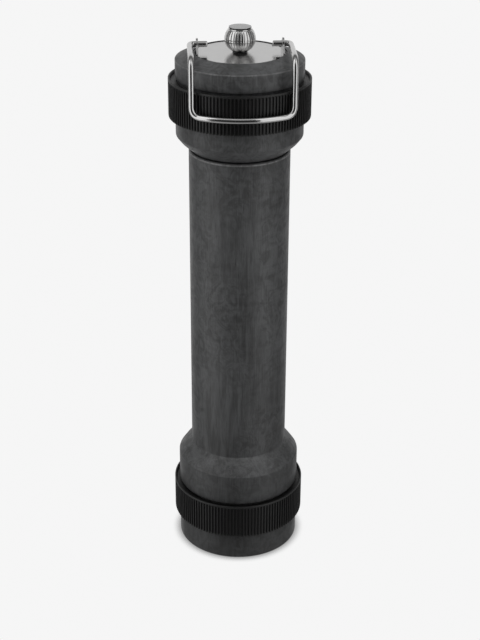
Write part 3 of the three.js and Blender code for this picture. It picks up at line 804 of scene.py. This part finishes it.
def cap_shade_ring():
    """A black ring in the gap under the cap: painted shade, a dark piece where the gap is in shade."""
    bottom = KNOB_TOP_Z + 0.02
    top = TOTAL_HEIGHT - CAP_EDGE
    inner = CAP_R - 1.3
    outer = CAP_R - 0.12
    corners = [(inner, bottom), (outer, bottom, 0.2), (outer, top, 0.2), (inner, top)]
    return finished("cap_shade_ring", turned(rounded(corners), MEDIUM), sharp=40)


def neck_shade_ring():
    """A black ring round the knob's neck: painted shade, a dark piece where the neck is in shade."""
    outer = KNOB_NECK_R + 0.15
    top = KNOB_FOOT_Z + KNOB_NECK_HEIGHT
    corners = [
        (KNOB_NECK_R, KNOB_FOOT_Z - 0.1),
        (outer, KNOB_FOOT_Z - 0.1, 0.3),
        (outer, top, 0.3),
        (KNOB_NECK_R, top),
    ]
    return finished("neck_shade_ring", turned(rounded(corners), MEDIUM), sharp=40)


knob = finished("knob_fluted", turned(knob_profile(), KNOB_FLUTES * FLUTE_SIDES, fluted), sharp=50)
place(knob, materials["chrome_plate"], "chrome_plate", "knob", "adjusting_knob")
place(cap(), materials["turned_cap"], "chrome_plate", "knob", "knob_cap")
# painted shade: a black ring round the knob's neck
place(neck_shade_ring(), materials["black_rubber"], "black_rubber", "knob")
# painted shade: a black ring in the gap under the cap
place(cap_shade_ring(), materials["black_rubber"], "black_rubber", "knob")


# ---- Finishes on the CAD nodes that stay ----
for part in frame["record"]["subparts"]:
    node = frame["nodes"][part["node"]]
    if node.hide_render:
        continue
    node.data.materials.clear()
    node.data.materials.append(materials[part["material_slot"]])


# ---- Floor, light and camera ----
BACKGROUND = 0.92
DIM_FRONT = 0.03
DIM_SIDES = 0.15
PANEL_BEHIND = 0.75
PANEL_OVERHEAD = 3.1
GLOSS_CUT = 0.86  # how much of the overhead panel reflections leave out
GLOSS_BENEATH = 0.3
FLOOR_REACH = 8000  # millimetres, as FLOOR_Z
FLOOR_Z = -0.05
FLOOR_GLOW = 0.58
FLOOR_GLOW_NEAR = 0.2
FLOOR_SHADE_START = 0.036  # metres from the mill's axis, where the floor's glow fades in
FLOOR_SHADE_END = 0.2
CONTACT_REACH = 0.008  # metres, of the soft shadow where the foot meets the floor
CONTACT_OPEN = (0.45, 0.9)  # how open the floor is where the shadow is darkest, and where it ends
CONTACT_DARK = 0.35
PANEL_HEIGHT = 2.5
PANEL_DISTANCE = 0.9
PANEL_MIDDLE_Z = 0.75


def floor_paint():
    """White to the camera, with a soft contact shadow. As a light it is dim near the mill.

    It is clear from beneath, so that the mill's underside can be looked at.
    """
    material = bpy.data.materials.new("floor_paint")
    material.use_nodes = True
    nodes = Nodes(material.node_tree)
    shade = nodes.made("ShaderNodeAmbientOcclusion", {"Distance": CONTACT_REACH}, samples=16)
    tone = nodes.spread(shade.outputs["AO"], *CONTACT_OPEN, CONTACT_DARK, BACKGROUND)
    seen = nodes.made("ShaderNodeEmission", {"Strength": tone}).outputs[0]
    on_floor = nodes.made("ShaderNodeTexCoord").outputs["Object"]
    away = nodes.made("ShaderNodeVectorMath", {0: on_floor}, operation="LENGTH").outputs["Value"]
    fade = nodes.spread(away, FLOOR_SHADE_START, FLOOR_SHADE_END, FLOOR_GLOW_NEAR, FLOOR_GLOW)
    bounce = nodes.made("ShaderNodeEmission", {"Strength": fade}).outputs[0]
    upper = nodes.choice(nodes.made("ShaderNodeLightPath").outputs["Is Camera Ray"], bounce, seen)
    clear = nodes.made("ShaderNodeBsdfTransparent").outputs[0]
    surface = nodes.choice(nodes.made("ShaderNodeNewGeometry").outputs["Backfacing"], upper, clear)
    nodes.made("ShaderNodeOutputMaterial", {"Surface": surface})
    return material


def floor():
    bm = bmesh.new()
    signs = ((-1, -1), (1, -1), (1, 1), (-1, 1))
    bm.faces.new([bm.verts.new((x * FLOOR_REACH, y * FLOOR_REACH, FLOOR_Z)) for x, y in signs])
    obj = finished("floor", bm)
    if obj.data.polygons[0].normal.z < 0:
        obj.data.flip_normals()
    obj.data.materials.append(floor_paint())
    obj.visible_glossy = False
    obj.visible_shadow = False


def studio_world():
    """White to the camera. For light and reflections it is dim, with bright panels behind and overhead.

    The limits of each spread are parts of a direction of length 1.
    """
    world = bpy.data.worlds.new("studio")
    bpy.context.scene.world = world
    world.use_nodes = True
    nodes = Nodes(world.node_tree)
    direction = nodes.made("ShaderNodeTexCoord").outputs["Generated"]
    parts = nodes.made("ShaderNodeSeparateXYZ", {"Vector": direction})
    across, up = parts.outputs["Y"], parts.outputs["Z"]
    rays = nodes.made("ShaderNodeLightPath")
    behind = nodes.spread(across, 0.55, 0.8, 0, PANEL_BEHIND)
    high = nodes.spread(up, 0.62, 0.88, 0, PANEL_OVERHEAD)
    in_front = nodes.spread(across, 0.3, -0.1, 0, 1)
    cut = nodes.maths("MULTIPLY", rays.outputs["Is Glossy Ray"], GLOSS_CUT)
    panel = nodes.maths("MULTIPLY", high, in_front)
    overhead = nodes.maths("MULTIPLY", panel, nodes.maths("SUBTRACT", 1.0, cut))
    beneath = nodes.spread(up, -0.4, -0.75, 0, GLOSS_BENEATH)
    dim = nodes.maths("ADD", nodes.spread(across, -0.95, 0.1, 0, DIM_SIDES), DIM_FRONT)
    light = nodes.maths("ADD", nodes.maths("ADD", behind, beneath), nodes.maths("ADD", overhead, dim))
    surroundings = nodes.made("ShaderNodeBackground", {"Strength": light}).outputs[0]
    white = {"Color": (1, 1, 1, 1), "Strength": BACKGROUND}
    seen = nodes.made("ShaderNodeBackground", white).outputs[0]
    surface = nodes.choice(rays.outputs["Is Camera Ray"], surroundings, seen)
    nodes.made("ShaderNodeOutputWorld", {"Surface": surface})


def side_panel(name, azimuth, width, radiance):
    """A tall white panel that stands in front of the mill and to one side, and faces it."""
    data = bpy.data.lights.new(name, "AREA")
    data.shape = "RECTANGLE"
    data.size = width
    data.size_y = PANEL_HEIGHT
    data.energy = radiance * math.pi * width * PANEL_HEIGHT
    obj = bpy.data.objects.new(name, data)
    bpy.context.scene.collection.objects.link(obj)
    turn = math.radians(azimuth)
    obj.location = (PANEL_DISTANCE * math.sin(turn), -PANEL_DISTANCE * math.cos(turn), PANEL_MIDDLE_Z)
    obj.rotation_euler = (math.pi / 2, 0, turn)
    obj.visible_camera = False


floor()
studio_world()
side_panel("left_panel", azimuth=-71, width=0.9, radiance=1.0)
side_panel("right_panel", azimuth=49, width=0.8, radiance=0.9)

CAMERA_DISTANCE = 0.6851  # level distance from the mill's axis
CAMERA_HEIGHT = 0.4654
CAMERA_AZIMUTH = math.radians(-3.2)
CAMERA_PITCH = math.radians(25.71)
CAMERA_ROLL = 0.0048
CAMERA_YAW = -0.00092
CAMERA_LENS = 76.86
CAMERA_SENSOR = 36
camera_data = bpy.data.cameras.new("camera")
camera_data.lens = CAMERA_LENS
camera_data.sensor_width = CAMERA_SENSOR
camera = bpy.data.objects.new("camera", camera_data)
bpy.context.scene.collection.objects.link(camera)
camera.location = (
    CAMERA_DISTANCE * math.sin(CAMERA_AZIMUTH),
    -CAMERA_DISTANCE * math.cos(CAMERA_AZIMUTH),
    CAMERA_HEIGHT,
)
camera.rotation_mode = "XYZ"
camera.rotation_euler = (math.pi / 2 - CAMERA_PITCH, 0, CAMERA_AZIMUTH + CAMERA_YAW)
camera.rotation_euler.rotate_axis("Z", CAMERA_ROLL)
bpy.context.scene.camera = camera
bpy.context.scene.view_settings.view_transform = "Standard"
